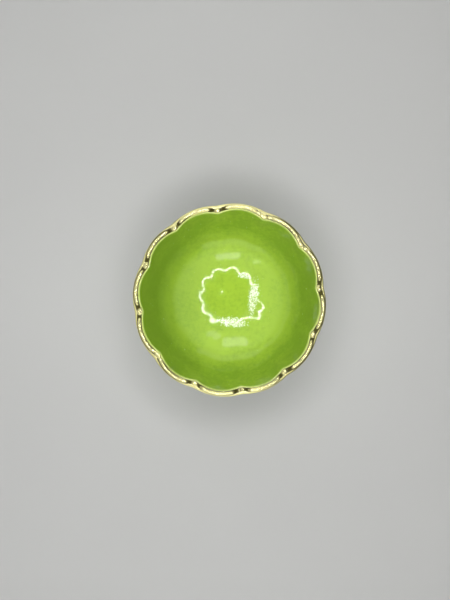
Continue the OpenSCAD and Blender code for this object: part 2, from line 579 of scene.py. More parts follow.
@dataclass(frozen=True)
class SharedEffects:
    """The node groups that more than one finish uses, each built once, when it is first asked for.

    Attributes:
        slow_waver: Slow wavers of a brushed border, per metre.
        quick_waver: Quick wavers of it, per metre.
        quick_share: Strength of the quick wavers.
        peel_rate: Bumps of orange peel across each cloud of a fired skin.
        pit_rate: Pits across each cloud.
        pit_edge: Where the edge of a pit starts and ends, against the space between pits.
        pit_depth: Depth of a pit against the orange peel.
        streak_scale: Streaks in gilding, per metre.
        brush_scale: Brush marks in gilding, per metre.
        patch_scale: Rubbed patches of gilding, per metre.
        patch_grain: How much the brush marks break up a patch.
        patch_edge: Where the edge of a patch starts and ends, past the share that is worn.
        polish_grain: How much the brush marks show in the polish.
    """

    slow_waver: float = 170.0
    quick_waver: float = 1300.0
    quick_share: float = 0.45
    peel_rate: float = 9.0
    pit_rate: float = 3.0
    pit_edge: Range = (0.02, 0.06)
    pit_depth: float = 0.6
    streak_scale: float = 420.0
    brush_scale: float = 2600.0
    patch_scale: float = 300.0
    patch_grain: float = 0.25
    patch_edge: Range = (0.02, 0.12)
    polish_grain: float = 0.4

    @cached_property
    def brushed_border(self) -> NodeTree:
        """The uneven border of a band that is painted with a brush.

        Returns:
            The group: Inset, Wander and Softness in, Mask out.
        """
        wiring, given, out = new_group("brushed_border", ["Inset", "Wander", "Softness"], ["Mask"])
        wavers = [wiring.noise(scale) for scale in (self.slow_waver, self.quick_waver)]
        slow, quick = (wiring.math("SUBTRACT", waver, 0.5) for waver in wavers)
        stray = wiring.plus(slow, quick, self.quick_share)
        inset = wiring.plus(given.outputs["Inset"], stray, given.outputs["Wander"])
        low = wiring.math("MULTIPLY", given.outputs["Softness"], -1.0)
        wiring.feed(out.inputs["Mask"], wiring.ramp(inset, low, given.outputs["Softness"]))
        return wiring.tree

    @cached_property
    def fired_skin(self) -> NodeTree:
        """The skin of fired ware: slow clouds, fine orange peel and a few pits.

        Returns:
            The group: Size in, Cloud and Height out.
        """
        wiring, given, out = new_group("fired_skin", ["Size"], ["Cloud", "Height"])
        rate = wiring.math("DIVIDE", 1.0, given.outputs["Size"])
        cloud = wiring.noise(rate, detail=4.0, roughness=0.55, distortion=0.4)
        peel = wiring.noise(wiring.math("MULTIPLY", rate, self.peel_rate))
        feeds = {"Vector": wiring.place(), "Scale": wiring.math("MULTIPLY", rate, self.pit_rate)}
        spots = wiring.node("ShaderNodeTexVoronoi", feeds, feature="F1")
        pit = wiring.rest(wiring.ramp(spots.outputs["Distance"], *self.pit_edge))
        wiring.feed_all(out, {"Cloud": cloud, "Height": wiring.plus(peel, pit, -self.pit_depth)})
        return wiring.tree

    @cached_property
    def gilt_film(self) -> NodeTree:
        """A film of gilding: brush streaks, rubbed places and a varying polish.

        Returns:
            The group: Worn in, Tone, Rubbed, Polish and Height out.
        """
        names = ["Tone", "Rubbed", "Polish", "Height"]
        wiring, given, out = new_group("gilt_film", ["Worn"], names)
        tone = wiring.noise(self.streak_scale, detail=3.0, roughness=0.6, distortion=0.8)
        grain = wiring.noise(self.brush_scale, detail=3.0, roughness=0.6)
        patches = wiring.noise(self.patch_scale, detail=4.0, roughness=0.65, distortion=1.2)
        patches = wiring.plus(patches, grain, self.patch_grain)
        kept = wiring.rest(given.outputs["Worn"])
        edge = [wiring.math("ADD", kept, past) for past in self.patch_edge]
        rubbed = wiring.ramp(patches, *edge)
        polish = wiring.plus(tone, grain, self.polish_grain)
        wiring.feed_all(out, dict(zip(names, (tone, rubbed, polish, grain))))
        return wiring.tree


@dataclass(frozen=True)
class Gilding:
    """Bright gilding burnished over glazed relief, with painted shade in the dips of the relief and
    beside its burnished tops.

    Attributes:
        bright: Colour of the film where it is thick.
        warm: Colour of the film where it is thin.
        under: Colour of the glaze that shows where the film is rubbed away.
        painted_shade_colour: Colour of the painted shade on the gilding, a dark brown.
        roughness: Roughness of the burnished film.
        polish_share: How much its polish varies.
        worn: Share of the film that is rubbed.
        shade_streaks: How much the streaks move the edge of the painted shade.
        shade_clouds: How much slow clouds move it.
        shade_scale: Those clouds, per metre.
        shade_edge: Where the painted shade starts and is complete.
        shade_roughness: Roughness of the gilding under the painted shade.
        shade_loss: How much less like metal it is there.
        brush_height: Depth of the brush marks.
        brush_strength: How strongly they show.
    """

    bright: Colour = (0.95, 0.92, 0.50)
    warm: Colour = (0.88, 0.81, 0.33)
    under: Colour = (0.52, 0.60, 0.20)
    painted_shade_colour: Colour = (0.075, 0.068, 0.009)
    roughness: float = 0.17
    polish_share: float = 0.3
    worn: float = 0.14
    shade_streaks: float = 0.3
    shade_clouds: float = 0.6
    shade_scale: float = 55.0
    shade_edge: Range = (0.85, 1.2)
    shade_roughness: float = 0.45
    shade_loss: float = 0.5
    brush_height: float = 0.012 * MM
    brush_strength: float = 0.1

    def film(
        self, wiring: Wiring, effects: SharedEffects
    ) -> tuple[NodeSocket, NodeSocket, NodeSocket, Node]:
        """Wires the film's colour and roughness.

        Args:
            wiring: The material's wiring.
            effects: The shared node groups.

        Returns:
            The colour, the roughness, the share under painted shade and the film's group node.
        """
        film = wiring.group(effects.gilt_film, Worn=self.worn)
        tone = film.outputs["Tone"]
        # Painted shade: the shade marks, moved a little by streaks and slow clouds, turn the gold dark
        # brown, rougher and less like metal.
        low = wiring.plus(wiring.mark(Mark.PAINTED_SHADE), tone, self.shade_streaks)
        low = wiring.plus(low, wiring.noise(self.shade_scale, detail=1.0), self.shade_clouds)
        shade = wiring.ramp(low, *self.shade_edge)
        colour = wiring.mix(tone, self.warm, self.bright)
        polish = wiring.plus(self.roughness, film.outputs["Polish"], self.polish_share * self.roughness)
        rough = wiring.blend(shade, polish, self.shade_roughness)
        return wiring.mix(shade, colour, self.painted_shade_colour), rough, shade, film

    def material(self, name: str, effects: SharedEffects) -> Material:
        """Makes the finish of a piece that is gilt all over.

        Args:
            name: The material's name.
            effects: The shared node groups.

        Returns:
            The material.
        """
        material, wiring, shader = new_material(name)
        colour, rough, shade, film = self.film(wiring, effects)
        rubbed = wiring.math("MULTIPLY", film.outputs["Rubbed"], wiring.rest(shade))
        feeds = {
            "Base Color": wiring.mix(rubbed, colour, self.under),
            "Metallic": wiring.rest(wiring.plus(rubbed, shade, self.shade_loss)),
            "Roughness": rough,
        }
        wiring.feed_all(shader, feeds)
        wiring.bump(shader, film.outputs["Height"], self.brush_height, self.brush_strength)
        return material


class GlintPlace(NamedTuple):
    """A place in the bowl where pale glints are painted on the glaze.

    Attributes:
        x: Its middle, along the object's X.
        y: Its middle, along the object's Y.
        z: Height of its middle.
        reach_x: How far it reaches along X.
        reach_y: How far it reaches along Y.
    """

    x: float
    y: float
    z: float
    reach_x: float
    reach_y: float


@dataclass(frozen=True)
class GreenGlaze:
    """Glossy lime green glaze over pale clay, with a painted gilt band.

    Attributes:
        body: Colour of the glaze at its usual thickness.
        pooled_and_wall_shade: Colour where it is thick, in pools, and where it paints shade on the
            bowl's steep wall.
        sides_colour: Colour towards two opposite sides of the bowl, which are darker.
        thin: Colour where it has run thin over an edge.
        glint_colour: Colour of the pale glints painted on it.
        clay: Colour of the bare clay that stands on the table.
        grit_tone: Tone of the grit in the clay, against the clay.
        roughness: Roughness of the glaze.
        gloss_spread: Least and most of its roughness, as shares.
        glint_roughness: Roughness where the glints are painted.
        clay_roughness: Roughness of the clay.
        refraction: Index of refraction of the glaze.
        cloud_size: Size of the clouds in the glaze.
        cloud_share: How much the clouds thicken it.
        mottle_size: Size of its fine mottling.
        mottle_share: How much the mottling thickens it.
        ridge_share: How much it thins over a ridge, as a negative share.
        climb_and_shade_reach: Depths of the flutes where it starts and stops to thicken up the wall; on
            the bowl's steep wall this thickening is painted shade.
        climb_and_shade_share: How much it thickens there.
        pool_edge: Thickness at which it starts to show the colour of pools, and shows it fully.
        darker_way: Direction, across the bowl, along which it gets darker towards both sides.
        darker_middle: Where along that direction it is lightest.
        darker_reach: Distances from there at which it starts and stops to darken.
        darker_share: How much of that colour it takes on there.
        thin_reach: Where it starts and stops to thin, in millimetres inside the gilt band.
        thin_stray: How much the orange peel moves that place.
        glints: Places on the floor where pale glints are painted.
        glint_fade: Where such a place starts and stops to fade, as shares of its reach.
        glint_boost: How many more glints there are in such a place.
        glint_scale: Glints per metre.
        glint_edge: Where the edge of a glint starts and ends.
        border_wander: How far the border of a painted band strays, in millimetres.
        band_softness: Softness of the border of the gilt band, in millimetres.
        ring_softness: Softness of the border of the bare ring, in millimetres.
        peel_height: Height of the orange peel.
        peel_strength: How strongly it shows.
    """

    body: Colour = (0.372, 0.562, 0.049)
    pooled_and_wall_shade: Colour = (0.276, 0.452, 0.040)
    sides_colour: Colour = (0.176, 0.30, 0.026)
    thin: Colour = (0.66, 0.76, 0.22)
    glint_colour: Colour = (0.90, 0.97, 0.76)
    clay: Colour = (0.72, 0.66, 0.54)
    grit_tone: float = 0.8
    roughness: float = 0.05
    gloss_spread: Range = (0.7, 1.3)
    glint_roughness: float = 0.35
    clay_roughness: float = 0.8
    refraction: float = 1.5
    cloud_size: float = 13 * MM
    cloud_share: float = 2.2
    mottle_size: float = 2.2 * MM
    mottle_share: float = 2.2
    ridge_share: float = -0.5
    climb_and_shade_reach: Range = (0.3 * MM, 1.15 * MM)
    climb_and_shade_share: float = 0.7
    pool_edge: Range = (1.8, 3.3)
    darker_way: tuple[float, float, float] = (0.991, 0.131, 0.0)
    darker_middle: float = 6 * MM
    darker_reach: Range = (10 * MM, 50 * MM)
    darker_share: float = 0.7
    thin_reach: Range = (-1.8, 0.2)
    thin_stray: float = 0.5
    glints: tuple[GlintPlace, ...] = (
        GlintPlace(14.2 * MM, 3.4 * MM, 27 * MM, 5 * MM, 17 * MM),
        GlintPlace(7.2 * MM, 15.6 * MM, 27 * MM, 6 * MM, 2.8 * MM),
        GlintPlace(3.5 * MM, -12.8 * MM, 27 * MM, 15 * MM, 5 * MM),
    )
    glint_fade: Range = (0.3, 1.0)
    glint_boost: float = 0.34
    glint_scale: float = 1500.0
    glint_edge: Range = (0.80, 0.83)
    border_wander: float = 0.5
    band_softness: float = 0.06
    ring_softness: float = 0.1
    peel_height: float = 0.004 * MM
    peel_strength: float = 0.6

    def glint_mask(self, wiring: Wiring) -> NodeSocket:
        """Finds the places on the floor where pale glints are painted.

        Args:
            wiring: The material's wiring.

        Returns:
            The socket of how much of such a place lies here, 0 to 1.
        """
        share: Any = 0.0
        for glint_place in self.glints:
            off = wiring.vector("SUBTRACT", wiring.place(), (glint_place.x, glint_place.y, glint_place.z))
            off = wiring.vector("DIVIDE", off, (glint_place.reach_x, glint_place.reach_y, glint_place.reach_x))
            near = wiring.rest(wiring.ramp(wiring.measure("LENGTH", off), *self.glint_fade))
            share = wiring.math("MAXIMUM", share, near)
        return share

    def coat(self, wiring: Wiring, skin: Node, inset: NodeSocket) -> tuple[NodeSocket, NodeSocket]:
        """Wires the colour of the glaze where it is thick or thin, with painted shade up the wall and
        painted glints.

        Args:
            wiring: The material's wiring.
            skin: The node of the fired skin.
            inset: Distance inside the gilt band.

        Returns:
            The colour, and the share under painted glints.
        """
        # Painted shade: the glaze is shown thicker as the flutes deepen, which darkens the bowl's steep
        # wall; on the foot it thickens the glaze towards the edge.
        climb_and_wall_shade = wiring.ramp(wiring.mark(Mark.NOTCH), *self.climb_and_shade_reach)
        mottle = wiring.noise(1 / self.mottle_size, detail=3.0, roughness=0.65)
        thick = wiring.math("MULTIPLY", skin.outputs["Cloud"], self.cloud_share)
        thick = wiring.plus(thick, wiring.mark(Mark.RIDGE), self.ridge_share)
        thick = wiring.plus(thick, climb_and_wall_shade, self.climb_and_shade_share)
        thick = wiring.plus(thick, mottle, self.mottle_share)
        colour = wiring.mix(wiring.ramp(thick, *self.pool_edge), self.body, self.pooled_and_wall_shade)

        # Darker towards two opposite sides of the bowl, along the given direction.
        aside = wiring.measure("DOT_PRODUCT", wiring.place(), self.darker_way)
        aside = wiring.math("ABSOLUTE", wiring.math("SUBTRACT", aside, self.darker_middle))
        to_sides = wiring.math("MULTIPLY", wiring.ramp(aside, *self.darker_reach), self.darker_share)
        colour = wiring.mix(to_sides, colour, self.sides_colour)
        stray = wiring.plus(inset, skin.outputs["Height"], self.thin_stray)
        colour = wiring.mix(wiring.ramp(stray, *self.thin_reach), colour, self.thin)

        # Painted highlight: pale specks where the glaze glints, gathered in the places listed above.
        grain = wiring.noise(self.glint_scale, detail=1.0)
        grain = wiring.plus(grain, self.glint_mask(wiring), self.glint_boost)
        glints = wiring.ramp(grain, *self.glint_edge)
        return wiring.mix(glints, colour, self.glint_colour), glints

    def band(
        self, wiring: Wiring, effects: SharedEffects, inset: NodeSocket, softness: float
    ) -> NodeSocket:
        """Masks a band with a brushed border, from the distance inside it and its softness."""
        feeds = {"Inset": inset, "Wander": self.border_wander, "Softness": softness}
        return wiring.group(effects.brushed_border, **feeds).outputs["Mask"]

    def material(self, name: str, gilding: Gilding, effects: SharedEffects) -> Material:
        """Makes the finish of a glazed piece with a gilt band and a bare standing ring.

        Args:
            name: The material's name.
            gilding: The gilding of its band.
            effects: The shared node groups.

        Returns:
            The material.
        """
        material, wiring, shader = new_material(name)
        inset = wiring.mark(Mark.GILT)
        skin = wiring.group(effects.fired_skin, Size=self.cloud_size)
        colour, glints = self.coat(wiring, skin, inset)
        least, most = (share * self.roughness for share in self.gloss_spread)
        rough = wiring.blend(skin.outputs["Cloud"], least, most)
        rough = wiring.blend(glints, rough, self.glint_roughness)

        # The gilt band on the lip takes the same painted shade as the relief, from the shade marks of
        # the bowl's mesh.
        gold, burnish, shade, film = gilding.film(wiring, effects)
        kept = wiring.math("MAXIMUM", wiring.rest(film.outputs["Rubbed"]), shade)
        painted = self.band(wiring, effects, inset, self.band_softness)
        gilt = wiring.math("MULTIPLY", painted, kept)
        colour = wiring.mix(gilt, colour, gold)
        rough = wiring.blend(gilt, rough, burnish)
        metal = wiring.math("SUBTRACT", gilt, wiring.math("MULTIPLY", shade, gilding.shade_loss))

        bare = self.band(wiring, effects, wiring.mark(Mark.BARE), self.ring_softness)
        grit = tuple(self.grit_tone * c for c in self.clay)
        clay = wiring.mix(skin.outputs["Height"], self.clay, grit)
        feeds = {
            "Base Color": wiring.mix(bare, colour, clay),
            "Metallic": wiring.math("MAXIMUM", metal, 0.0),
            "Roughness": wiring.blend(bare, rough, self.clay_roughness),
            "IOR": self.refraction,
        }
        wiring.feed_all(shader, feeds)
        wiring.bump(shader, skin.outputs["Height"], self.peel_height, self.peel_strength)
        return material


@dataclass(frozen=True)
class FiredSlip:
    """Matt fired slip, sponged smooth by hand.

    Attributes:
        pale: Colour of the slip.
        stained: Colour where it has taken up a little glaze.
        stain_edge: Where the edge of such a stain starts and ends.
        pale_roughness: Roughness of the slip.
        stain_roughness: Roughness of a stain.
        grain_size: Size of its clouds.
        grain_height: Height of its grain.
    """

    pale: Colour = (0.80, 0.76, 0.62)
    stained: Colour = (0.62, 0.66, 0.36)
    stain_edge: Range = (0.35, 0.75)
    pale_roughness: float = 0.75
    stain_roughness: float = 0.45
    grain_size: float = 2.5 * MM
    grain_height: float = 0.03 * MM

    def material(self, name: str, effects: SharedEffects) -> Material:
        """Makes the finish of a slip seam.

        Args:
            name: The material's name.
            effects: The shared node groups.

        Returns:
            The material.
        """
        material, wiring, shader = new_material(name)
        skin = wiring.group(effects.fired_skin, Size=self.grain_size)
        stain = wiring.ramp(skin.outputs["Cloud"], *self.stain_edge)
        feeds = {
            "Base Color": wiring.mix(stain, self.pale, self.stained),
            "Roughness": wiring.blend(stain, self.pale_roughness, self.stain_roughness),
        }
        wiring.feed_all(shader, feeds)
        wiring.bump(shader, skin.outputs["Height"], self.grain_height)
        return material


# Sub-assemblies


@dataclass
class Bowl:
    """The fluted bowl with its scalloped lip, inside and out.

    Attributes:
        outer_crest: Radius of the lip at a lobe, outside.
        lip_z: Height of the lip.
        seat_z: Height of the seat of the foot.
        neck_radius: Radius of the seat.
        lip_width: Width of the lip.
        lip_edge: Radius of the inner edge of the lip.
        outer_edge: Radius of its outer edge, where the glaze has run round.
        lip_band: Height of the thickened band under the lip.
        outer_notch_depth: How far a notch dips in on the outside of the lip.
        relief_inset: How far the line of the relief lies in from the middle of the lip.
        bare_margin: Width of the bare glaze between the inner edge of the lip and the gilding.
        wall: Thickness of the wall.
        wall_lean: Lean of the wall from upright.
        knuckle_radius: Radius of the bend between wall and floor.
        floor_radius: Radius of the hollow of the floor.
        floor_height: Height of the middle of the floor.
        neck_cove: Radius of the cove at the seat.
        filled: Notches where the glaze has run together and filled the dips beside the bead.
        shade_dip_middle: Distance of the painted shade in the dips on the lip from the notch between
            them.
        shade_dip_reach: Half width and half length of such a patch of shade.
        shade_band_middle: Distance of the band of painted shade outside the scrolls from their line.
        shade_band_reach: Half the width of that band.
        shade_band_turn: Angle at which the band is darkest, as it is at the opposite side.
        shade_band_least: How dark it is where it is lightest.
        shade_band_more: How much darker it gets.
        ripple_radius: Where the flutes still ripple the floor.
        ripple_slope: How much they tip it there.
        ripple_width: Half the width of the ripples, as a share of their radius.
        ripple_end: How many times that far off they have died out.
        mean_dip: How far the scalloped line dips on average.
        sides: Sides of the mesh.
        knuckle_steps: Steps of the outline round the bend.
        top_steps: Steps across the lip.
        under_steps: Steps from the band under the lip back to the wall.
    """

    outer_crest: float
    lip_z: float
    seat_z: float
    neck_radius: float = 14 * MM
    lip_width: float = 3.5 * MM
    lip_edge: float = 0.3 * MM
    outer_edge: float = 0.9 * MM
    lip_band: float = 2.4 * MM
    outer_notch_depth: float = 1.0 * MM
    relief_inset: float = 0.15 * MM
    bare_margin: float = 0.3 * MM
    wall: float = 3 * MM
    wall_lean: float = math.radians(18)
    knuckle_radius: float = 18 * MM
    floor_radius: float = 105 * MM
    floor_height: float = 26 * MM
    neck_cove: float = 1.4 * MM
    filled: tuple[int, ...] = (2, 3, 8)
    shade_dip_middle: float = 2.4 * MM
    shade_dip_reach: Range = (1.1 * MM, 1.5 * MM)
    shade_band_middle: float = 1.2 * MM
    shade_band_reach: float = 0.6 * MM
    shade_band_turn: float = math.radians(7.5)
    shade_band_least: float = 0.5
    shade_band_more: float = 0.45
    ripple_radius: float = 17.5 * MM
    ripple_slope: float = 0.015
    ripple_width: float = 0.35
    ripple_end: float = 3.0
    mean_dip: float = 0.4
    sides: int = 480
    knuckle_steps: int = 26
    top_steps: int = 8
    under_steps: int = 5

    @classmethod
    def from_frame(cls) -> "Bowl":
        """Takes the bowl's size from its solid."""
        low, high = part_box("bowl")
        return cls(outer_crest=high.x, lip_z=high.z, seat_z=low.z)

    @cached_property
    def lobes(self) -> Lobes:
        """The scalloped line of the relief along the lip."""
        return Lobes(crest=self.outer_crest - self.lip_width / 2 - self.relief_inset)

    def flute(self, height: float) -> float:
        """Depth of the flutes at a height; they fade from the lip to the floor."""
        share = (height - self.floor_height) / (self.lip_z - self.floor_height)
        return self.lobes.notch_depth * clamp(share)

    def outline(self) -> list[OutlinePoint]:
        """Draws the outline from the middle of the floor, over the lip and down to the seat.

        Returns:
            The outline's points, with the gilt band over the lip marked.
        """
        inner = self.outer_crest - self.lip_width
        lean = self.wall_lean
        down_wall = Vector((-math.sin(lean), -math.cos(lean)))
        out_of_wall = Vector((math.cos(lean), -math.sin(lean)))
        wall_top = Vector((inner, self.lip_z - self.lip_edge))
        floor_centre = Vector((0.0, self.floor_height + self.floor_radius))
        bend = wall_top - self.knuckle_radius * out_of_wall - floor_centre
        along = bend.dot(down_wall)
        reach = self.floor_radius - self.knuckle_radius
        wall_length = math.sqrt(along**2 - bend.length_squared + reach**2) - along
        knuckle = wall_top - self.knuckle_radius * out_of_wall + wall_length * down_wall
        bend_end = math.atan2(knuckle.y - floor_centre.y, knuckle.x)
        up = RIGHT_ANGLE

        inside = arc(floor_centre, self.floor_radius, -up, bend_end, steps=36)
        inside += arc(knuckle, self.knuckle_radius, bend_end, -lean, self.knuckle_steps)[1:]
        inside += straight(inside[-1], wall_top, steps=22)
        bend = Vector((inner + self.lip_edge, self.lip_z - self.lip_edge))
        inner_edge = arc(bend, self.lip_edge, math.pi, up, steps=6)
        bend = Vector((self.outer_crest - self.outer_edge, self.lip_z - self.outer_edge))
        outer_edge = arc(bend, self.outer_edge, up, 0, steps=10)
        top = straight(inner_edge[-1], outer_edge[0], self.top_steps)
        band_end = Vector((self.outer_crest, self.lip_z - self.lip_band))
        band = outer_edge + straight(outer_edge[-1], band_end, steps=4) + [band_end]

        outer_top = wall_top + self.wall * out_of_wall + 2 * self.lip_band * down_wall
        under = straight(band_end, outer_top, self.under_steps)
        outer_knuckle = self.knuckle_radius + self.wall
        outer_floor = self.floor_radius + self.wall
        round_knuckle = arc(knuckle, outer_knuckle, -lean, bend_end, self.knuckle_steps)
        cove_start = math.asin((self.neck_radius + self.neck_cove) / outer_floor) - up
        underside = arc(floor_centre, outer_floor, bend_end, cove_start, steps=18)[1:]
        cove_centre = underside[-1] - Vector((0.0, self.neck_cove))
        outside = [outer_top] + straight(outer_top, round_knuckle[0], steps=20)
        outside += round_knuckle + underside
        outside += arc(cove_centre, self.neck_cove, up, math.pi, steps=6)[1:]
        outside += [Vector((self.neck_radius, self.seat_z)), Vector((0.0, self.seat_z))]

        points = inside + inner_edge + top + band + under + outside
        notches = [self.flute(p.y) for p in inside + inner_edge]
        notches += fade(self.lobes.notch_depth, self.outer_notch_depth, self.top_steps)
        notches += [self.outer_notch_depth] * len(band)
        notches += fade(self.outer_notch_depth, self.flute(outer_top.y), self.under_steps)
        notches += [self.flute(p.y) for p in outside]
        lengths = run_lengths(points)
        lip_start = len(inside) + len(inner_edge)
        gilt_start = lengths[lip_start - 1] + self.bare_margin
        gilt_end = lengths[lip_start + len(top) + len(band) - 1]
        plain = len(inner_edge) + len(top) + len(band)
        ridges = [1.0] * len(inside) + [0.0] * plain + [-1.0] * (len(under) + len(outside))
        return [
            OutlinePoint(
                radius=p.x,
                height=p.y,
                notch=notch,
                gilt=min(s - gilt_start, gilt_end - s) / MM,
                ridge=ridge * notch / self.lobes.notch_depth,
            )
            for p, s, notch, ridge in zip(points, lengths, notches, ridges)
        ]

    def ripple(self, shape: BMesh) -> None:
        """Lets the flutes run out in faint ripples on the floor, as the casting does.

        Args:
            shape: The bowl's mesh.
        """
        width = self.ripple_width * self.ripple_radius
        for corner in shape.verts:
            radius = corner.co.xy.length
            off = (radius - self.ripple_radius) / width
            if corner.co.z < self.floor_height - self.wall / 2 or abs(off) > self.ripple_end:
                continue
            dip = self.lobes.dip(angle_of(corner)) - self.mean_dip
            tip = self.ripple_slope * (radius - self.ripple_radius) * math.exp(-(off**2))
            corner.co.z += tip * dip

    def paint_lip_shade(self, shape: BMesh) -> None:
        """Paints shade on the lip: a band outside the scrolls, darkest at two opposite sides, and
        patches in the dips between each bead and the next scrolls.

        Args:
            shape: The bowl's mesh.
        """
        lobes = self.lobes
        shade_mark = shape.verts.layers.float[Mark.PAINTED_SHADE.value]
        for corner in shape.verts:
            if corner.co.z < self.lip_z - self.outer_edge:
                continue
            angle = angle_of(corner) % FULL_TURN
            radius = corner.co.xy.length
            # Painted shade: a dark band outside the scrolls, darkest at two opposite sides of the lip.
            line = lobes.crest - lobes.notch_depth * lobes.dip(angle)
            off = abs(radius - line - self.shade_band_middle) / self.shade_band_reach
            shade = self.shade_band_least + self.shade_band_more * math.cos(angle - self.shade_band_turn) ** 2
            corner[shade_mark] = shade * clamp(2 * (1 - off))
            number = int(angle / lobes.step) + 1
            if number in self.filled:
                continue
            # Painted shade in the dips between each bead and the next scrolls.
            along = radius * abs(angle - lobes.step * (number - 0.5)) - self.shade_dip_middle
            off = math.hypot((radius - line) / self.shade_dip_reach[0], along / self.shade_dip_reach[1])
            corner[shade_mark] = max(corner[shade_mark], within_edge(off))

    def build(self, hand: HandFinish, material: Material) -> Object:
        """Models the bowl and dresses it.

        Args:
            hand: The wander of hand-finished ware.
            material: The glaze, with the gilt lip.

        Returns:
            The piece.
        """
        shape = turned(self.outline(), self.sides, closed=False)
        scallop(shape, self.lobes)
        self.ripple(shape)
        self.paint_lip_shade(shape)
        hand.shift(shape)
        return make_piece("bowl_glazed", shape, "bowl", material)


@dataclass
class RimRelief:
    """The raised gilt scrolls and beads on the lip.

    Attributes:
        bowl: The bowl that carries them.
        height: Height of the scrolls above the lip.
        scroll_width: Width of a scroll.
        scroll_crown: How far the round top of a scroll rises over its upright sides.
        shoulder: Radius between the round top and the upright sides.
        lean: How much a scroll leans in over the bowl.
        ramp: Length over which a scroll comes down to the lip at each end.
        ramp_power: How steeply it does so at the very end.
        end_rise: Share of the height that is left there.
        bead_width: Width of a bead.
        bead_length: Length of a bead along the lip.
        bead_crown: How far the round top of a bead rises over its upright sides.
        bead_drop: How much lower a bead is than the scrolls.
        bead_cut: Height at which the ball that a bead is made from is cut, against its radius.
        fall_power: How late along a bead it comes down to the lip.
        bead_spread: Least and most of the size of a bead, as shares.
        bead_tilt: Most that a bead is turned out of line.
        gap: Gap between a scroll and the bead beside it.
        sunk: How far the relief sinks into the glaze of the lip.
        filled_rise: Share of the height that is left in a filled dip.
        core_width: Width of the burnished core of a scroll, which is left without painted shade.
        core_tip: Length of its rounded tip.
        core_start: How far from the scroll's end the tip starts.
        core_spread: Least and most of that distance, as shares.
        bead_core: Half width and half length of the burnished middle of a bead, which is left without
            painted shade.
        core_side_shade: How dark the painted shade is beside a burnished place.
        pinched: Beads that came out of the mould as a pair.
        pinch_length: Half the length of the pinch between the two, as a share of the bead.
        pinch_depth: How far the pinch goes down.
        pinch_waist: How much it narrows the bead.
        seed: Number that the differences between scrolls and beads are drawn from.
    """

    bowl: Bowl
    height: float
    scroll_width: float = 2 * MM
    scroll_crown: float = 0.44 * MM
    shoulder: float = 0.12 * MM
    lean: float = math.radians(8)
    ramp: float = 2.8 * MM
    ramp_power: float = 1.25
    end_rise: float = 0.1
    bead_width: float = 2.6 * MM
    bead_length: float = 4.4 * MM
    bead_crown: float = 0.38 * MM
    bead_drop: float = 0.3 * MM
    bead_cut: float = 0.02
    fall_power: int = 3
    bead_spread: Range = (0.95, 1.02)
    bead_tilt: float = 0.12
    gap: float = 0.1 * MM
    sunk: float = 0.2 * MM
    filled_rise: float = 0.72
    core_width: float = 1.35 * MM
    core_tip: float = 1.5 * MM
    core_start: float = 1.7 * MM
    core_spread: Range = (0.5, 1.25)
    bead_core: Range = (1.2 * MM, 1.7 * MM)
    core_side_shade: float = 0.62
    pinched: tuple[int, ...] = (1, 10)
    pinch_length: float = 0.13
    pinch_depth: float = 0.6 * MM
    pinch_waist: float = 0.25
    seed: int = 12

    @classmethod
    def from_frame(cls, bowl: Bowl) -> "RimRelief":
        """Takes the relief's height from the solid of a scroll."""
        low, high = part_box("rim_scroll_01")
        return cls(bowl=bowl, height=high.z - low.z)

    def section(self) -> list[Vector]:
        """Draws a scroll's section: a round top with soft shoulders on upright sides.

        Returns:
            The points from the foot of one side over the top to the foot of the other.
        """
        up = RIGHT_ANGLE
        half = self.scroll_width / 2
        round_top = crown_radius(half, self.scroll_crown)
        crown = Vector((0.0, self.height - round_top))
        inset = half - self.shoulder
        span = math.asin(inset / (round_top - self.shoulder))
        bend = crown + (round_top - self.shoulder) * Vector((math.sin(span), math.cos(span)))
        side = arc(bend, self.shoulder, 0, up - span, steps=4)[:-1]
        top = arc(crown, round_top, up - span, up + span, steps=16)
        over = side + top + [Vector((-p.x, p.y)) for p in reversed(side)]
        over = [Vector((p.x, p.y + p.x * math.tan(self.lean))) for p in over]
        return [Vector((half, -self.sunk)), *over, Vector((-half, -self.sunk))]

    def shade_round_core(self, across: float, along: float) -> float:
        """Finds how much painted shade lies round a burnished place that is an oval or a strip.

        Args:
            across: Distance across from the middle of the place, 1 on its edge.
            along: Distance along it from where its rounded end begins, 1 on its edge.

        Returns:
            0 where it is burnished, more beside it and 1 in the dip beyond its end.
        """
        beside = self.core_side_shade * beyond_edge(across)
        beyond = beyond_edge(math.hypot(across, along)) if along > 0 else 0.0
        return max(beside, beyond)

    def scroll(
        self, index: int, hand: HandFinish, chance: random.Random, material: Material
    ) -> Object:
        """Models one scroll: a roll along the arc of its lobe, which comes down at both ends.

        Args:
            index: Number of the lobe, from 1.
            hand: The wander of hand-finished ware.
            chance: Source of the small differences between scrolls.
            material: The gilding.

        Returns:
            The piece.
        """
        lobes = self.bowl.lobes
        filled = self.bowl.filled
        half = lobes.half_angle - (self.bead_length / 2 + self.gap) / lobes.arc_radius
        starts = [self.core_start * chance.uniform(*self.core_spread) for _ in range(2)]
        shape = bmesh.new()
        shade_mark = shape.verts.layers.float.new(Mark.PAINTED_SHADE.value)
        corners = [shape.verts.new((lobes.arc_radius + p.x, 0.0, p.y)) for p in self.section()]
        for pair in zip(corners, corners[1:] + corners[:1]):
            shape.edges.new(pair)
        turn(shape, -half)
        spin(shape, 2 * half, steps=72)
        bmesh.ops.holes_fill(shape, edges=shape.edges, sides=0)
        bmesh.ops.recalc_face_normals(shape, faces=shape.faces)
        for corner in shape.verts:
            from_end = lobes.arc_radius * (half - abs(angle_of(corner)))
            rise = 1 - max(0.0, 1 - from_end / self.ramp) ** self.ramp_power
            beside = index if corner.co.y > 0 else (index - 2) % lobes.count + 1
            least = self.filled_rise if beside in filled else self.end_rise
            corner.co.z = (corner.co.z + self.sunk) * max(rise, least) - self.sunk
